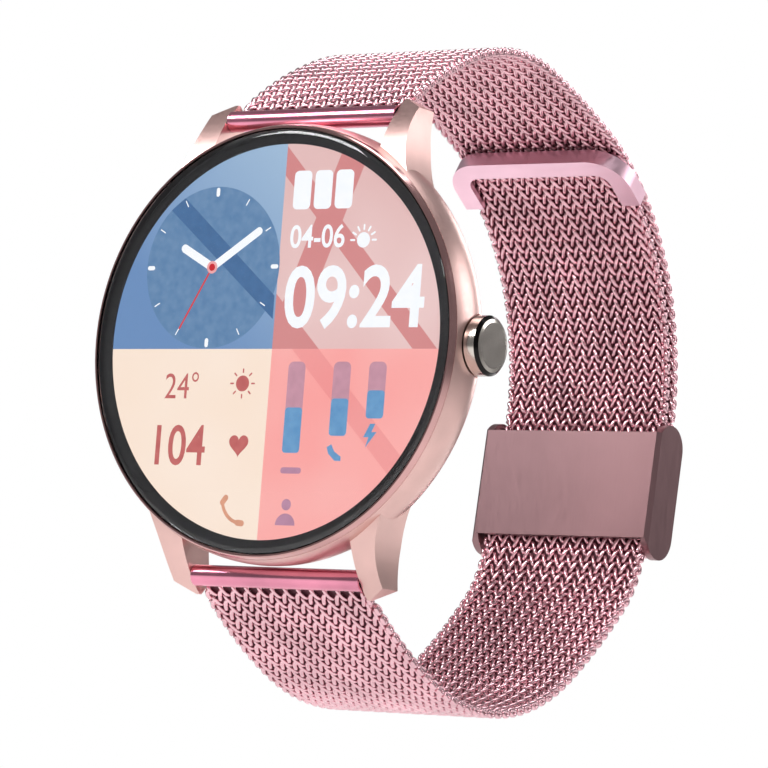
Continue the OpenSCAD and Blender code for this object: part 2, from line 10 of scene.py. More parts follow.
import bmesh
import bpy
import numpy as np
from mathutils import Matrix, Vector


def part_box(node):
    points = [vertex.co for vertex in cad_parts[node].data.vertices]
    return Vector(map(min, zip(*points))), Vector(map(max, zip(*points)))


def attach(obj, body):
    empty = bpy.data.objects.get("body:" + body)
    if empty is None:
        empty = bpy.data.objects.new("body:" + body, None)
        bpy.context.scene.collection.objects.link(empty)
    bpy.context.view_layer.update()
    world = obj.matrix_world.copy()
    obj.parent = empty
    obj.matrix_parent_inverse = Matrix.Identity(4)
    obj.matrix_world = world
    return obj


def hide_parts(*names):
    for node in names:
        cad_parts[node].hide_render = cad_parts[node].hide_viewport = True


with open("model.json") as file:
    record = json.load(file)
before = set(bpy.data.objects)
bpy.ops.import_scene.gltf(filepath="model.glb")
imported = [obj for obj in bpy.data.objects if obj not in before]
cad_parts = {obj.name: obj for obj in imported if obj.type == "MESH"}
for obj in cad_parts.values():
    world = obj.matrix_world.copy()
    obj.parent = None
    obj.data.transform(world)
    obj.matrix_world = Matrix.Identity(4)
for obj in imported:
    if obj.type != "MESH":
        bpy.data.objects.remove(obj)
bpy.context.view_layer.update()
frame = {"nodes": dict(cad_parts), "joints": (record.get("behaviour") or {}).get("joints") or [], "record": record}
scene = bpy.context.scene
nodes = frame["nodes"]
MM = 0.001

# --- camera ---

CAMERA_AT = Vector((238.27, -340.59, -47.01)) * MM
CAMERA_RIGHT = Vector((0.82962, 0.55316, 0.07576))
CAMERA_UP = Vector((-0.00346, -0.13060, 0.99143))
LENS_MM = 198.7
SENSOR_MM = 36.0


def add_camera():
    data = bpy.data.cameras.new("camera")
    data.lens = LENS_MM
    data.sensor_width = SENSOR_MM
    data.clip_start = 0.01
    data.clip_end = 20
    cam = bpy.data.objects.new("camera", data)
    right = CAMERA_RIGHT.normalized()
    up = (CAMERA_UP - right * CAMERA_UP.dot(right)).normalized()
    back = right.cross(up)
    turn = Matrix((right, up, back)).transposed()
    cam.matrix_world = Matrix.Translation(CAMERA_AT) @ turn.to_4x4()
    scene.collection.objects.link(cam)
    scene.camera = cam


add_camera()

# --- materials ---


def linear(rgb):
    """A colour given as 0 to 255 values, as linear values with alpha."""
    part = [c / 255 for c in rgb]
    return tuple(c / 12.92 if c <= 0.04045 else ((c + 0.055) / 1.055) ** 2.4 for c in part) + (1.0,)


class Tree:
    """A material's node tree with short names for the nodes used here."""

    def __init__(self, name):
        self.mat = bpy.data.materials.new(name)
        self.mat.use_nodes = True
        self.nt = self.mat.node_tree
        self.shader = self.nt.nodes["Principled BSDF"]
        self.coords = self.nt.nodes.new("ShaderNodeTexCoord").outputs["Object"]

    def link(self, a, b):
        self.nt.links.new(a, b)

    def math(self, op, a, b=0.0, c=0.0, clamp=False):
        node = self.nt.nodes.new("ShaderNodeMath")
        node.operation = op
        node.use_clamp = clamp
        for socket, value in zip(node.inputs, (a, b, c)):
            if isinstance(value, (int, float)):
                socket.default_value = value
            else:
                self.link(value, socket)
        return node.outputs[0]

    def xyz(self):
        split = self.nt.nodes.new("ShaderNodeSeparateXYZ")
        self.link(self.coords, split.inputs[0])
        return split.outputs

    def noise(self, size, stretch=(1, 1, 1), detail=3.0, rough=0.55):
        """Noise whose features are about size metres across, drawn out along an axis by stretch."""
        place = self.nt.nodes.new("ShaderNodeMapping")
        place.inputs["Scale"].default_value = [1 / (size * s) for s in stretch]
        self.link(self.coords, place.inputs["Vector"])
        node = self.nt.nodes.new("ShaderNodeTexNoise")
        node.inputs["Scale"].default_value = 1.0
        node.inputs["Detail"].default_value = detail
        node.inputs["Roughness"].default_value = rough
        self.link(place.outputs[0], node.inputs["Vector"])
        return node.outputs["Fac"]

    def spread(self, value, low, high, start=0.3, end=0.7):
        node = self.nt.nodes.new("ShaderNodeMapRange")
        for key, number in zip(("From Min", "From Max", "To Min", "To Max"), (start, end, low, high)):
            node.inputs[key].default_value = number
        self.link(value, node.inputs["Value"])
        return node.outputs["Result"]

    def mix(self, share, a, b):
        node = self.nt.nodes.new("ShaderNodeMix")
        node.data_type = "RGBA"
        for socket, value in ((node.inputs[0], share), (node.inputs[6], a), (node.inputs[7], b)):
            if isinstance(value, (int, float, tuple)):
                socket.default_value = value
            else:
                self.link(value, socket)
        return node.outputs[2]

    def bump(self, height, depth, strength=1.0):
        node = self.nt.nodes.new("ShaderNodeBump")
        node.inputs["Distance"].default_value = depth
        node.inputs["Strength"].default_value = strength
        self.link(height, node.inputs["Height"])
        self.link(node.outputs[0], self.shader.inputs["Normal"])

    def set(self, **values):
        for key, value in values.items():
            self.shader.inputs[key.replace("_", " ")].default_value = value


def surface(name, rgb, metallic, rough, grain=0.0006, stretch=(1, 1, 1), bump=2e-6, tint=0.08, coat=0.0):
    """A solid finish: colour that drifts a little, roughness and bump from a fine grain, faint scuffs."""
    t = Tree(name)
    t.set(Metallic=metallic)
    if coat:
        t.set(Coat_Weight=coat, Coat_Roughness=0.08)
    fine = t.noise(grain, stretch)
    broad = t.noise(0.006, detail=2.0)
    scuff = t.noise(0.0011, (1, 1, 6), detail=6.0, rough=0.7)
    dark = linear([c * (1 - tint) for c in rgb])
    light = linear([min(255, c * (1 + tint * 0.5)) for c in rgb])
    t.link(t.mix(t.spread(broad, 0, 1), dark, light), t.shader.inputs["Base Color"])
    worn = t.spread(scuff, 0.0, 0.08, 0.62, 0.78)
    t.link(t.math("ADD", t.spread(fine, rough * 0.85, rough * 1.15), worn), t.shader.inputs["Roughness"])
    t.bump(fine, bump)
    return t.mat


def board_finish(name):
    """Circuit board: green lacquer with fine copper tracks under it."""
    t = Tree(name)
    x, _, z = t.xyz()
    track = t.math("LESS_THAN", t.math("PINGPONG", x, 0.0004), 0.00012)
    lane = t.math("GREATER_THAN", t.noise(0.002, (1, 1, 3)), 0.52)
    copper = t.math("MULTIPLY", track, lane)
    t.link(t.mix(copper, linear((22, 92, 58)), linear((80, 150, 80))), t.shader.inputs["Base Color"])
    t.link(t.spread(t.noise(0.0005), 0.3, 0.45), t.shader.inputs["Roughness"])
    t.bump(track, 1e-5)
    return t.mat


BRUSH_X = (14, 1, 1)
BRUSH_Z = (1, 1, 14)
finishes = {
    "case_rose": surface("case_rose", (228, 190, 184), 1.0, 0.34, 0.00025, bump=1.2e-6, tint=0.05),
    "polished_rose": surface("polished_rose", (214, 168, 166), 1.0, 0.14, 0.0004, bump=5e-7),
    "adhesive": surface("adhesive", (28, 28, 30), 0.0, 0.7, 0.0003, bump=1e-5),
    "flex": surface("flex", (178, 112, 48), 0.0, 0.4, 0.0004, BRUSH_Z, bump=4e-6),
    "dark_plastic": surface("dark_plastic", (46, 46, 50), 0.0, 0.55, 0.0002, bump=8e-6),
    "circuit_board": board_finish("circuit_board"),
    "tinned_steel": surface("tinned_steel", (190, 192, 196), 1.0, 0.32, 0.0003, BRUSH_X, bump=3e-6),
    "battery_foil": surface("battery_foil", (150, 154, 162), 0.8, 0.38, 0.0008, bump=1e-5),
    "spring_steel": surface("spring_steel", (172, 172, 176), 1.0, 0.28, 0.0002, BRUSH_X, bump=2e-6),
    "seal_rubber": surface("seal_rubber", (26, 26, 27), 0.0, 0.75, 0.00015, bump=8e-6),
    "lamp": surface("lamp", (222, 238, 205), 0.0, 0.22, 0.0003, bump=3e-6, coat=0.5),
    "gold_contact": surface("gold_contact", (222, 184, 110), 1.0, 0.2, 0.0002, bump=2e-6),
    "crown_silver": surface("crown_silver", (208, 200, 192), 1.0, 0.16, 0.0002, (1, 6, 6), bump=6e-7),
    "tube_pink": surface("tube_pink", (232, 150, 175), 1.0, 0.2, 0.0003, BRUSH_X, bump=7e-7),
    "mesh_pink": surface("mesh_pink", (247, 200, 209), 1.0, 0.25, 0.00012, bump=5e-7, tint=0.08),
    "trim_pink": surface("trim_pink", (250, 208, 224), 1.0, 0.36, 0.0004, BRUSH_X, bump=8e-7, tint=0.04),
    "clasp_mauve": surface(
        "clasp_mauve", (150, 118, 121), 1.0, 0.38, 0.00022, BRUSH_Z, bump=1.5e-6, tint=0.02),
    "magnet": surface("magnet", (120, 120, 126), 1.0, 0.45, 0.0003, bump=6e-6),
}


def lens_finish(name, rgb, rough):
    """Clear glass with a trace of fine smears in its gloss."""
    t = Tree(name)
    t.set(Transmission_Weight=1.0, IOR=1.46)
    t.shader.inputs["Base Color"].default_value = linear(rgb)
    smear = t.noise(0.004, (1, 1, 3), detail=6.0)
    t.link(t.spread(smear, rough * 0.5, rough * 1.5), t.shader.inputs["Roughness"])
    return t.mat


def screen_light(t, colour, power):
    """Makes a tree's surface a lit screen of that colour."""
    t.set(Roughness=0.4, Emission_Strength=power)
    t.shader.inputs["Specular IOR Level"].default_value = 0.0
    t.shader.inputs["Base Color"].default_value = (0.01, 0.01, 0.01, 1)
    t.link(colour, t.shader.inputs["Emission Color"])
    return t.mat


SCREEN_POWER = 1.07


def glow(name, rgb, other=None):
    """A lit colour on the screen, with the slight unevenness of a real panel."""
    t = Tree(name)
    cells = t.noise(0.0009, detail=1.0)
    second = linear(other) if other else linear([c * 0.95 for c in rgb])
    return screen_light(t, t.mix(t.spread(cells, 0, 1), linear(rgb), second), SCREEN_POWER)


LIT_R = 19.35
ACTIVE_R = LIT_R * MM
FACE_X, FACE_Z = 0.2, -0.75


def wallpaper():
    """The watch face's ground: four coloured quarters with slanting bands."""
    t = Tree("screen_ground")
    x, _, z = t.xyz()
    right = t.math("GREATER_THAN", x, 0.0)
    top = t.math("GREATER_THAN", z, FACE_Z * MM)
    slope = t.math("ADD", t.math("MULTIPLY", x, 0.03 / MM), t.math("MULTIPLY", z, 0.035 / MM))
    blue = t.mix(t.math("ADD", slope, 0.25, clamp=True), linear((108, 143, 188)), linear((166, 192, 216)))
    dusk = t.mix(t.spread(t.noise(0.012, detail=1.0), 0, 1), linear((228, 184, 180)), linear((238, 202, 198)))
    cream = t.mix(t.spread(t.noise(0.01, detail=1.0), 0, 1), linear((253, 229, 208)), linear((255, 234, 216)))
    coral = t.mix(t.spread(t.noise(0.01, detail=1.0), 0, 1), linear((254, 164, 159)), linear((255, 182, 176)))

    def band(nx, nz, at, half):
        """1 within half of the line where nx*x + nz*z = at."""
        along = t.math("ADD", t.math("MULTIPLY", x, nx), t.math("MULTIPLY", z, nz))
        off = t.math("ABSOLUTE", t.math("SUBTRACT", along, at * MM))
        return t.math("LESS_THAN", off, half * MM)

    fall = band(0.72, 0.69, 12.2, 1.0)
    rise = t.math("MULTIPLY", band(0.93, -0.36, 0.9, 1.5), top)
    drop = t.math("MULTIPLY", band(0.70, 0.71, 2.2, 1.1), right)
    dusk_bands = t.math("MAXIMUM", t.math("MAXIMUM", fall, rise), drop)
    dusk = t.mix(t.math("MULTIPLY", dusk_bands, 0.75), dusk, linear((208, 112, 112)))
    coral = t.mix(t.math("MULTIPLY", drop, 0.35), coral, linear((228, 120, 122)))
    upper = t.mix(right, blue, dusk)
    lower = t.mix(right, cream, coral)
    ground = t.mix(top, lower, upper)
    from_middle = t.math("SQRT", t.math("ADD", t.math("MULTIPLY", x, x), t.math("MULTIPLY", z, z)))
    lit = t.math("LESS_THAN", from_middle, ACTIVE_R)
    return screen_light(t, t.mix(lit, (0.002, 0.002, 0.003, 1), ground), SCREEN_POWER)


slot_of = {p["node"]: p["material_slot"] for p in frame["record"]["subparts"]}
finishes["display"] = wallpaper()


def crown_finish():
    """Polished metal, with a painted dark reflection on the turned-down rim round the crown's face."""
    lo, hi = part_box("crown_cap")
    t = Tree("crown_silver_painted_dark_rim")
    x, y, z = t.xyz()
    dy = t.math("SUBTRACT", y, (lo.y + hi.y) / 2)
    dz = t.math("SUBTRACT", z, (lo.z + hi.z) / 2)
    radius = t.math("SQRT", t.math("ADD", t.math("MULTIPLY", dy, dy), t.math("MULTIPLY", dz, dz)))
    outer = t.math("GREATER_THAN", radius, (hi.z - lo.z) / 2 - 0.36 * MM)
    front = t.math("GREATER_THAN", x, hi.x - 0.4 * MM)
    drift = t.mix(t.spread(t.noise(0.002), 0, 1), linear((204, 198, 190)), linear((214, 207, 199)))
    # the rim's near-black base colour is a painted dark reflection on the same polished silver
    t.link(t.mix(t.math("MULTIPLY", outer, front), drift, linear((40, 38, 38))), t.shader.inputs["Base Color"])
    t.link(t.spread(t.noise(0.0002, (1, 6, 6)), 0.13, 0.19), t.shader.inputs["Roughness"])
    t.set(Metallic=1.0)
    t.bump(t.noise(0.0002, (1, 6, 6)), 6e-7)
    return t.mat


finishes["black_glass"] = surface("dark_window", (16, 16, 20), 0.0, 0.08, 0.0008, bump=2e-7, coat=1.0)
for name, obj in nodes.items():
    obj.data.materials.clear()
    obj.data.materials.append(finishes[slot_of[name]])
nodes["crown_cap"].data.materials[0] = crown_finish()

# --- mesh helpers ---


def add_mesh(name, verts, faces, mat, body, smooth=True):
    """A mesh object from point and face lists, riding on a body."""
    mesh = bpy.data.meshes.new(name)
    mesh.from_pydata([tuple(v) for v in verts], [], [tuple(f) for f in faces])
    mesh.validate()
    mesh.materials.append(mat)
    if smooth:
        mesh.shade_smooth()
    obj = bpy.data.objects.new(name, mesh)
    scene.collection.objects.link(obj)
    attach(obj, body)
    return obj


def add_turned(name, profile, mat, body, steps=160):
    """A ring or lens turned about the Y axis from a closed (radius, y) profile in millimetres."""
    count = len(profile)
    verts, faces = [], []
    for i in range(steps):
        a = 2 * math.pi * i / steps
        for r, y in profile:
            verts.append((r * MM * math.cos(a), y * MM, r * MM * math.sin(a)))
    for i in range(steps):
        for j in range(count):
            k = (j + 1) % count
            n = (i + 1) % steps
            faces.append((i * count + j, i * count + k, n * count + k, n * count + j))
    obj = add_mesh(name, verts, faces, mat, body, smooth=False)
    tidy = bmesh.new()
    tidy.from_mesh(obj.data)
    bmesh.ops.remove_doubles(tidy, verts=tidy.verts, dist=1e-7)
    bmesh.ops.recalc_face_normals(tidy, faces=tidy.faces)
    tidy.to_mesh(obj.data)
    tidy.free()
    obj.data.shade_smooth()
    obj.data.set_sharp_from_angle(angle=math.radians(28))
    return obj


# --- glass ---

glass_lo, glass_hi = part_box("cover_glass")
GLASS_R = glass_hi.x / MM
GLASS_FRONT = glass_lo.y / MM
PANEL_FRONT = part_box("display_panel")[0].y / MM
LENS_BACK = PANEL_FRONT - 0.16

lens = add_turned(
    "cover_lens",
    [(0, GLASS_FRONT), (GLASS_R - 0.62, GLASS_FRONT), (GLASS_R - 0.3, GLASS_FRONT + 0.05),
     (GLASS_R - 0.1, GLASS_FRONT + 0.17), (GLASS_R, GLASS_FRONT + 0.42), (GLASS_R, LENS_BACK), (0, LENS_BACK)],
    lens_finish("lens_glass", (250, 252, 255), 0.012), "case")
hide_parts("cover_glass")
border = add_turned(
    "lens_border",
    [(LIT_R, LENS_BACK + 0.01), (GLASS_R - 0.02, LENS_BACK + 0.01), (GLASS_R - 0.02, LENS_BACK + 0.06),
     (LIT_R, LENS_BACK + 0.06)],
    surface("border_ink", (4, 4, 5), 0.0, 0.6, 0.0004, bump=1e-7), "case")

# --- watch face ---

FACE_Y = PANEL_FRONT - 0.04


class Drawing:
    """Flat shapes drawn on the screen, x to the crown and z to twelve o'clock, in millimetres."""

    def __init__(self, name, mat, layer):
        self.name, self.mat, self.y = name, mat, FACE_Y - 0.02 * layer
        self.verts, self.faces = [], []

    def poly(self, points):
        start = len(self.verts)
        self.verts += [((x + FACE_X) * MM, self.y * MM, (z + FACE_Z) * MM) for x, z in points]
        self.faces.append(list(range(start, start + len(points))))

    def disc(self, x, z, r, steps=40):
        self.poly([(x + r * math.cos(a), z + r * math.sin(a))
                   for a in np.linspace(0, 2 * math.pi, steps, endpoint=False)])

    def bar(self, x0, z0, x1, z1, width, steps=10):
        """A straight stroke with round ends."""
        a = math.atan2(z1 - z0, x1 - x0)
        ends = []
        for cx, cz, first in ((x1, z1, a - math.pi / 2), (x0, z0, a + math.pi / 2)):
            for b in np.linspace(first, first + math.pi, steps):
                ends.append((cx + width / 2 * math.cos(b), cz + width / 2 * math.sin(b)))
        self.poly(ends)

    def box(self, x0, z0, x1, z1, r):
        """A rectangle with rounded corners."""
        points = []
        corners = ((x1 - r, z1 - r, 0), (x0 + r, z1 - r, 90), (x0 + r, z0 + r, 180), (x1 - r, z0 + r, 270))
        for cx, cz, first in corners:
            for b in np.linspace(first, first + 90, 6):
                points.append((cx + r * math.cos(math.radians(b)), cz + r * math.sin(math.radians(b))))
        self.poly(points)

    def sun(self, x, z, r, near, far, width, rays, apart):
        """A disc with short rays that go from near to far off its middle, apart degrees from one another."""
        self.disc(x, z, r)
        for k in range(rays):
            a = math.radians(apart * k)
            c, s = math.cos(a), math.sin(a)
            self.bar(x + near * c, z + near * s, x + far * c, z + far * s, width)

    def heart(self, x, z):
        points = []
        for a in np.linspace(0, 2 * math.pi, 40, endpoint=False):
            height = 13 * math.cos(a) - 5 * math.cos(2 * a) - 2 * math.cos(3 * a) - math.cos(4 * a)
            points.append((x + 1.15 * math.sin(a) ** 3, z + 0.075 * height))
        self.poly(points)

    def digits(self, text, x0, x1, z0, z1, weight=0.02):
        """Numbers fitted to the box x0..x1, z0..z1."""
        curve = bpy.data.curves.new(self.name + "_digits", "FONT")
        curve.body = text
        curve.offset = weight
        curve.resolution_u = 5
        obj = bpy.data.objects.new(self.name + "_digits", curve)
        scene.collection.objects.link(obj)
        bpy.context.view_layer.update()
        flat = obj.evaluated_get(bpy.context.evaluated_depsgraph_get()).to_mesh()
        co = np.array([v.co for v in flat.vertices])
        lo, hi = co.min(0), co.max(0)
        start = len(self.verts)
        for p in co:
            x = x0 + (p[0] - lo[0]) / (hi[0] - lo[0]) * (x1 - x0)
            z = z0 + (p[1] - lo[1]) / (hi[1] - lo[1]) * (z1 - z0)
            self.verts.append(((x + FACE_X) * MM, self.y * MM, (z + FACE_Z) * MM))
        self.faces += [[start + i for i in f.vertices] for f in flat.polygons]
        bpy.data.objects.remove(obj)
        bpy.data.curves.remove(curve)

    def finish(self):
        obj = add_mesh(self.name, self.verts, self.faces, self.mat, "case", smooth=False)
        return obj


dial_x, dial_z, dial_r = -8.05, 8.05, 8.0
dial = Drawing("face_dial", glow("dial_blue", (92, 130, 170), (108, 142, 178)), 1)
dial.disc(dial_x, dial_z, dial_r, 96)
dial.finish()
band = Drawing("face_band", glow("band_blue", (72, 112, 158)), 2)
band.poly([(-13.6, 13.8), (-12.0, 15.0), (-0.35, 5.2), (-0.35, 2.9)])
band.finish()

white = Drawing("face_white", glow("face_white", (255, 255, 255), (250, 252, 255)), 4)
for k in range(12):
    a = math.radians(30 * k)
    main = k % 3 == 0
    reach, half, wide = (7.45, 0.24, 0.42) if main else (7.35, 0.3, 0.12)
    white.bar(dial_x + (reach - half) * math.sin(a), dial_z + (reach - half) * math.cos(a),
              dial_x + (reach + half) * math.sin(a), dial_z + (reach + half) * math.cos(a), wide)
white.bar(dial_x, dial_z, dial_x - 3.5, dial_z + 1.9, 0.85)
white.bar(dial_x, dial_z, dial_x + 5.3, dial_z + 3.5, 0.8)
for k in range(3):
    white.box(1.0 + 2.45 * k, 13.6, 3.05 + 2.45 * k, 17.4, 0.5)
white.digits("04-06", 1.0, 7.4, 9.8, 12.1, 0.015)
white.sun(9.6, 10.5, 0.75, 1.05, 1.45, 0.2, rays=7, apart=30)
white.digits("09:24", 0.9, 17.1, 1.9, 8.1, 0.02)
white.finish()

red = Drawing("face_red", glow("face_red", (190, 96, 94), (202, 108, 104)), 4)
red.digits("24°", -12.6, -8.6, -4.9, -2.3, 0.0)
red.digits("104", -13.2, -7.2, -11.5, -7.5, 0.01)
red.sun(-3.3, -3.4, 0.78, 1.1, 1.4, 0.16, rays=8, apart=45)
red.heart(-3.2, -9.35)
red.finish()
hand = Drawing("face_second_hand", glow("second_red", (222, 70, 78)), 5)
hand.bar(dial_x, dial_z, dial_x - 3.4, dial_z - 6.0, 0.2)
hand.finish()
hub_ring = Drawing("face_hub_ring", glow("hub_pink", (244, 170, 170)), 6)
hub_ring.disc(dial_x, dial_z, 0.62)
hub_ring.finish()
hub = Drawing("face_hub", glow("hub_red", (206, 40, 50)), 7)
hub.disc(dial_x, dial_z, 0.36)
hub.finish()

track = Drawing("face_tracks", glow("track_mauve", (204, 150, 166)), 3)
fill = Drawing("face_fills", glow("fill_blue", (96, 148, 194), (110, 160, 202)), 4)
for x, low, level in ((3.0, -10.1, -5.7), (8.3, -8.4, -4.8), (12.4, -6.7, -4.0)):
    track.box(x - 1.0, low, x + 1.0, -1.25, 0.6)
    fill.box(x - 1.0, low, x + 1.0, level, 0.35)
shoe = [(7.2, -9.5), (7.7, -9.2), (8.1, -9.9), (8.9, -10.4), (8.9, -10.8), (8.2, -10.8), (7.4, -10.1)]
bolt = [(12.0, -7.2), (12.6, -7.2), (12.2, -8.0), (12.8, -8.0), (11.6, -9.5), (11.9, -8.5), (11.3, -8.5)]
fill.poly(shoe)
fill.poly(bolt)
track.finish()
fill.finish()
soft = Drawing("face_icons", glow("icon_mauve", (190, 140, 165)), 4)
soft.disc(3.0, -15.1, 0.55)
soft.poly([(3.0 + 1.15 * math.cos(a), -17.1 + 1.15 * math.sin(a)) for a in np.linspace(0, math.pi, 20)])
soft.box(2.0, -12.1, 4.4, -11.5, 0.28)
soft.finish()
call = Drawing("face_call", glow("icon_peach", (226, 160, 130)), 4)
handset = np.linspace(math.radians(190), math.radians(260), 8)
arc = [(-2.2 + 2.4 * math.cos(a), -14.6 + 2.4 * math.sin(a)) for a in handset]
for (x0, z0), (x1, z1) in zip(arc, arc[1:]):
    call.bar(x0, z0, x1, z1, 0.36)
call.bar(arc[0][0], arc[0][1], arc[0][0] + 0.35, arc[0][1] + 0.45, 0.6)
call.bar(arc[-1][0], arc[-1][1], arc[-1][0] + 0.5, arc[-1][1] - 0.05, 0.6)
call.finish()

# --- woven strap ---

joint_at = {j["name"]: j["pos_m"] for j in frame["joints"] if "pos_m" in j}
MESH_T = 1.05
BAND_W = 20.2
FULL = BAND_W / 2
# wires of the two hands; the back one is thinner, lies deeper and stops short of the edge
WIRE_R = 0.245
BACK_WIRE_R = 0.205
BACK_INSET = 0.45
BACK_SINK = 0.04
# spacing of the rows, of a coil's turns, and how far a turn reaches to each side along the strap
ROW_PITCH = 0.695
TURN_PITCH = BAND_W / 13
REACH = 0.66
EDGE_REACH = 0.4
EDGE_TURNS = 0.75
# the mesh is rolled flat this far under its full thickness
ROLLED = 0.045
# how far short of the strap's edge the painted shade sheet stops
SHADE_SHEET_INSET = 0.5
SIDES = 7
STEPS = 14
# dark maroon sheet through the middle of the weave: painted shade standing in for the dark gaps between the wires
painted_shade_sheet_finish = surface("weave_painted_shade_sheet", (84, 32, 46), 0.0, 0.6, 0.0002, bump=2e-6)


class Path:
    """A run of straight and curved stretches in the plane of Y and Z, in millimetres and degrees."""

    def __init__(self, y, z, heading, side):
        self.y, self.z, self.h, self.side = y, z, math.radians(heading), side
        self.rows, self.length = [], 0.0

    def go(self, length, turn=0.0):
        k = math.radians(turn) / length
        self.rows.append((self.length, self.y, self.z, self.h, k))
        h1 = self.h + k * length
        if abs(k) < 1e-9:
            self.y += length * math.cos(self.h)
            self.z += length * math.sin(self.h)
        else:
            self.y += (math.sin(h1) - math.sin(self.h)) / k
            self.z += (math.cos(self.h) - math.cos(h1)) / k
        self.h = h1
        self.length += length
        return self

    def at(self, s, off):
        """Points at distance s along the path and off outwards from it, as arrays of y and z."""
        table = np.array(self.rows)
        i = np.clip(np.searchsorted(table[:, 0], s, side="right") - 1, 0, len(table) - 1)
        s0, y0, z0, h0, k = table[i].T
        h = h0 + k * (s - s0)
        flat = np.abs(k) < 1e-9
        safe = np.where(flat, 1.0, k)
        y = np.where(flat, y0 + (s - s0) * np.cos(h0), y0 + (np.sin(h) - np.sin(h0)) / safe)
        z = np.where(flat, z0 + (s - s0) * np.sin(h0), z0 + (np.cos(h0) - np.cos(h)) / safe)
        return y - self.side * off * np.sin(h), z + self.side * off * np.cos(h)


def between(a, b, turn):
    """Length of the arc from hinge a to hinge b that turns by that many degrees."""
    chord = math.hypot(*(joint_at[b][i] - joint_at[a][i] for i in (1, 2))) / MM
    half = math.radians(abs(turn)) / 2
    return chord * half / math.sin(half)


def coil(half_width, hand):
    """One flattened wire spring across the strap, hand 1 or -1.

    Gives its points as x, distance along the strap and height, its faces, and its number of rings.
    """
    front = hand > 0
    wire = WIRE_R if front else BACK_WIRE_R
    inner = half_width - wire - (0 if front else BACK_INSET)
    turn0 = (-inner + FULL) / TURN_PITCH - EDGE_TURNS
    turn1 = (inner + FULL) / TURN_PITCH + EDGE_TURNS
    count = max(4, int(round((turn1 - turn0) * STEPS)))
    turns = np.linspace(turn0, turn1, count + 1)
    a = 2 * math.pi * turns
    rise = MESH_T / 2 - wire - (0 if front else BACK_SINK)
    c, s = np.cos(a), np.sin(a)
    x = turns * TURN_PITCH - FULL
    reach = np.where(np.abs(x) > inner, EDGE_REACH, REACH)
    height = hand * rise * np.sign(s) * np.abs(s) ** 0.8
    line = np.stack([np.clip(x, -inner, inner), reach * c, height], 1)
    ahead = np.gradient(line, axis=0)
    ahead /= np.linalg.norm(ahead, axis=1)[:, None]
    across = np.array([1.0, 0, 0]) - ahead * ahead[:, :1]
    across /= np.maximum(np.linalg.norm(across, axis=1), 1e-6)[:, None]
    up = np.cross(ahead, across)
    ring = np.linspace(0, 2 * math.pi, SIDES, endpoint=False)[None, :, None]
    points = line[:, None, :] + wire * (np.cos(ring) * across[:, None, :] + np.sin(ring) * up[:, None, :])
    points = points.reshape(-1, 3)
    points[:, 2] = np.clip(points[:, 2], ROLLED - MESH_T / 2, MESH_T / 2 - ROLLED)
    i = np.arange(count)[:, None] * SIDES
    j = np.arange(SIDES)[None, :]
    n = (j + 1) % SIDES
    quads = np.stack([i + j, i + n, i + SIDES + n, i + SIDES + j], 2).reshape(-1, 4)
    return points, quads, count + 1


def weave(name, path, first, last, start, body, cad_nodes, width):
    """Rows of interlocked wire from distance first to last along the path, on one body, with a dark sheet down the
    middle that is painted shade for the gaps between the wires.
    """
    verts, quads, caps, base = [], [], [], 0
    k0 = math.ceil((first - start) / ROW_PITCH - 1e-6)
    k1 = math.ceil((last - start) / ROW_PITCH - 1e-6)
    for k in range(k0, k1):
        s = start + k * ROW_PITCH
        local, faces, rings = coil(width(s), 1 if k % 2 else -1)
        y, z = path.at(s + local[:, 1], local[:, 2])
        verts.append(np.stack([local[:, 0], y, z], 1) * MM)
        quads.append(faces + base)
        end = base + (rings - 1) * SIDES
        caps.append([list(range(base, base + SIDES))[::-1], list(range(end, end + SIDES))])
        base += len(local)
    # the dark sheet down the middle of the rows, painted shade seen through the gaps between the wires
    shade_sheet_s = start + (np.arange(k0, k1 + 1) - 0.5) * ROW_PITCH
    shade_sheet_x = np.array([width(s) - SHADE_SHEET_INSET for s in shade_sheet_s])
    y, z = path.at(shade_sheet_s, np.zeros(len(shade_sheet_s)))
    edges = [np.stack([side * shade_sheet_x, y, z], 1) for side in (-1, 1)]
    verts.append(np.stack(edges, 1).reshape(-1, 3) * MM)
    i = base + 2 * np.arange(len(shade_sheet_s) - 1)[:, None]
    shade_sheet_quads = np.concatenate([i, i + 1, i + 3, i + 2], 1)
    wires = sum(len(q) for q in quads)
    quads.append(shade_sheet_quads)
    verts, quads = np.concatenate(verts), np.concatenate(quads)
    ends = np.array([c for pair in caps for c in pair])
    mesh = bpy.data.meshes.new(name)
    mesh.vertices.add(len(verts))
    mesh.vertices.foreach_set("co", verts.ravel())
    corners = np.concatenate([quads.ravel(), ends.ravel()])
    mesh.loops.add(len(corners))
    mesh.loops.foreach_set("vertex_index", corners)
    cap_starts = len(quads) * 4 + np.arange(len(ends)) * SIDES
    starts = np.concatenate([np.arange(len(quads)) * 4, cap_starts])
    mesh.polygons.add(len(starts))
    mesh.polygons.foreach_set("loop_start", starts)
    shade = np.zeros(len(starts), dtype=np.int32)
    shade[wires:len(quads)] = 1
    mesh.materials.append(finishes["mesh_pink"])
    mesh.materials.append(painted_shade_sheet_finish)
    mesh.polygons.foreach_set("material_index", shade)
    mesh.update(calc_edges=True)
    mesh.validate()
    mesh.shade_smooth()
    obj = bpy.data.objects.new(name, mesh)
    scene.collection.objects.link(obj)
    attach(obj, body)
    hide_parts(*cad_nodes)
    return obj


NARROW = 9.82
SHOULDER = 3.7


def near_lugs(s):
    return NARROW if s < SHOULDER else FULL


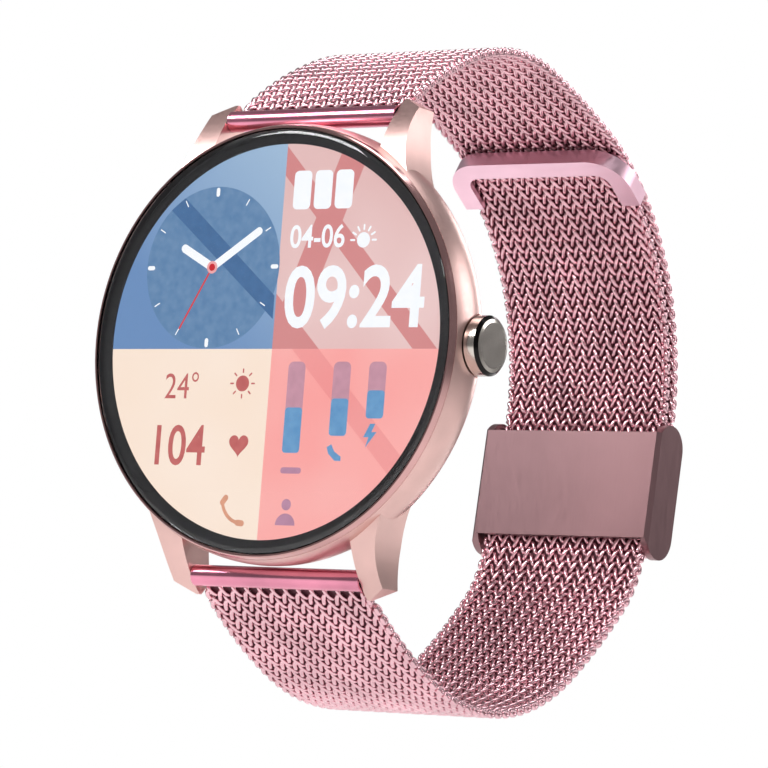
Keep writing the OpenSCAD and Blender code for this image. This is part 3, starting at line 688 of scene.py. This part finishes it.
UPPER_HEADING, UPPER_TURNS = 42.0, (-20.0, -38.0, -7.6)
CLASP_LEAN = 6.5
BEND_R, FOLD_R, TAIL_R = 28.4635, 0.78, 26.9035
CLASP_RUN = 12.75
LOWER_RUN = 12.4
TAIL_TURN = 62.38
upper = Path(joint_at["upper_bend_1"][1] / MM, joint_at["upper_bend_1"][2] / MM, UPPER_HEADING, 1)
marks = [0.0]
for i, turn in enumerate(UPPER_TURNS):
    upper.go(between(f"upper_bend_{i + 1}", f"upper_bend_{i + 2}", turn), turn)
    marks.append(upper.length)
last_turn = -90 - CLASP_LEAN - (UPPER_HEADING + sum(UPPER_TURNS))
upper.go(BEND_R * math.radians(-last_turn), last_turn)
upper.go(CLASP_RUN)
fold_from = upper.length
upper.go(math.pi * FOLD_R, -180)
upper.go(CLASP_RUN)
tail_from = upper.length
tail_arc = TAIL_TURN + CLASP_LEAN
upper.go(TAIL_R * math.radians(tail_arc), tail_arc)
TUBE_R = 1.05
TUBE_CLEAR = TUBE_R + REACH + 0.12
for i in range(3):
    weave(f"upper_weave_{i + 1}", upper, TUBE_CLEAR if i == 0 else marks[i], marks[i + 1], TUBE_CLEAR,
          f"upper_strap_{i + 1}", [f"upper_mesh_{i + 1}"], near_lugs)
weave("upper_weave_4", upper, marks[3], fold_from, TUBE_CLEAR, "upper_strap_4", ["upper_mesh_4"], near_lugs)
weave("fold_weave", upper, fold_from, tail_from, TUBE_CLEAR, "upper_strap_4", ["fold_mesh"], near_lugs)
tail_end = upper.length - REACH - WIRE_R
TAIL_CORNER = 3.4


def tail_width(s):
    left = tail_end + 0.6 - s
    if left > TAIL_CORNER:
        return FULL
    return FULL - TAIL_CORNER + math.sqrt(max(0.2, TAIL_CORNER**2 - (TAIL_CORNER - left) ** 2))


weave("tail_weave", upper, tail_from, tail_end, TUBE_CLEAR, "upper_strap_4", ["tail_mesh"], tail_width)

LOWER_HEADING, LOWER_TURNS = -42.0, (17.3, 29.8, 30.1, 10.0)
LOWER_LAST = (7.9, 38.3)
lower = Path(joint_at["lower_bend_1"][1] / MM, joint_at["lower_bend_1"][2] / MM, LOWER_HEADING, -1)
marks = [0.0]
for i, turn in enumerate(LOWER_TURNS):
    lower.go(between(f"lower_bend_{i + 1}", f"lower_bend_{i + 2}", turn), turn)
    marks.append(lower.length)
lower.go(*LOWER_LAST).go(LOWER_RUN)
marks.append(lower.length - REACH - WIRE_R)
for i in range(5):
    weave(f"lower_weave_{i + 1}", lower, TUBE_CLEAR if i == 0 else marks[i], marks[i + 1], TUBE_CLEAR,
          f"lower_strap_{i + 1}", [f"lower_mesh_{i + 1}"], near_lugs)

# --- floor, light and sky ---

LIGHT_AIM = (0, 18, 0)
FLOOR_DROP = 0.02
FLOOR_HALF = 3.0


def add_floor():
    """A pale floor below the camera, so that the main view stays clear of it."""
    half = FLOOR_HALF
    z = CAMERA_AT.z - FLOOR_DROP
    verts = [(-half, -half, z), (half, -half, z), (half, half, z), (-half, half, z)]
    t = Tree("floor_white")
    drift = t.spread(t.noise(0.2, detail=2.0), 0, 1)
    t.link(t.mix(drift, linear((244, 243, 242)), linear((248, 247, 246))), t.shader.inputs["Base Color"])
    t.set(Roughness=0.7)
    x, y, _ = t.xyz()
    away = t.math("SQRT", t.math("ADD", t.math("MULTIPLY", x, x), t.math("MULTIPLY", y, y)))
    seen = t.nt.nodes.new("ShaderNodeLightPath").outputs["Is Camera Ray"]
    t.shader.inputs["Emission Color"].default_value = (1, 1, 1, 1)
    t.link(t.math("MULTIPLY", t.spread(away, 0.0, 0.8, 0.12, 0.5), seen), t.shader.inputs["Emission Strength"])
    mesh = bpy.data.meshes.new("floor")
    mesh.from_pydata(verts, [], [(0, 1, 2, 3)])
    mesh.materials.append(t.mat)
    floor = bpy.data.objects.new("floor", mesh)
    scene.collection.objects.link(floor)


def add_light(name, place, size, power):
    data = bpy.data.lights.new(name, "AREA")
    data.shape = "RECTANGLE"
    data.size = size * MM
    data.size_y = size * MM
    data.energy = power
    light = bpy.data.objects.new(name, data)
    light.location = Vector(place) * MM
    light.rotation_mode = "QUATERNION"
    light.rotation_quaternion = (Vector(LIGHT_AIM) * MM - light.location).to_track_quat("-Z", "Y")
    scene.collection.objects.link(light)


def add_sky():
    world = bpy.data.worlds.new("studio")
    scene.world = world
    world.use_nodes = True
    nt = world.node_tree
    ground = nt.nodes["Background"]
    ground.inputs["Color"].default_value = (0.62, 0.6, 0.61, 1)
    ground.inputs["Strength"].default_value = 0.36
    seen = nt.nodes.new("ShaderNodeBackground")
    seen.inputs["Color"].default_value = (1, 1, 1, 1)
    seen.inputs["Strength"].default_value = 1.0
    path = nt.nodes.new("ShaderNodeLightPath")
    mix = nt.nodes.new("ShaderNodeMixShader")
    nt.links.new(path.outputs["Is Camera Ray"], mix.inputs[0])
    nt.links.new(ground.outputs[0], mix.inputs[1])
    nt.links.new(seen.outputs[0], mix.inputs[2])
    nt.links.new(mix.outputs[0], nt.nodes["World Output"].inputs["Surface"])


add_floor()
add_sky()
add_light("key", (-180, -260, 240), 130, 0.9)
add_light("side", (250, 270, 150), 160, 0.24)
add_light("top", (40, 60, 330), 200, 0.6)
add_light("spark", (170, -300, 190), 60, 0.42)
add_light("rear", (-60, 330, 90), 200, 0.5)
scene.view_settings.view_transform = "Standard"
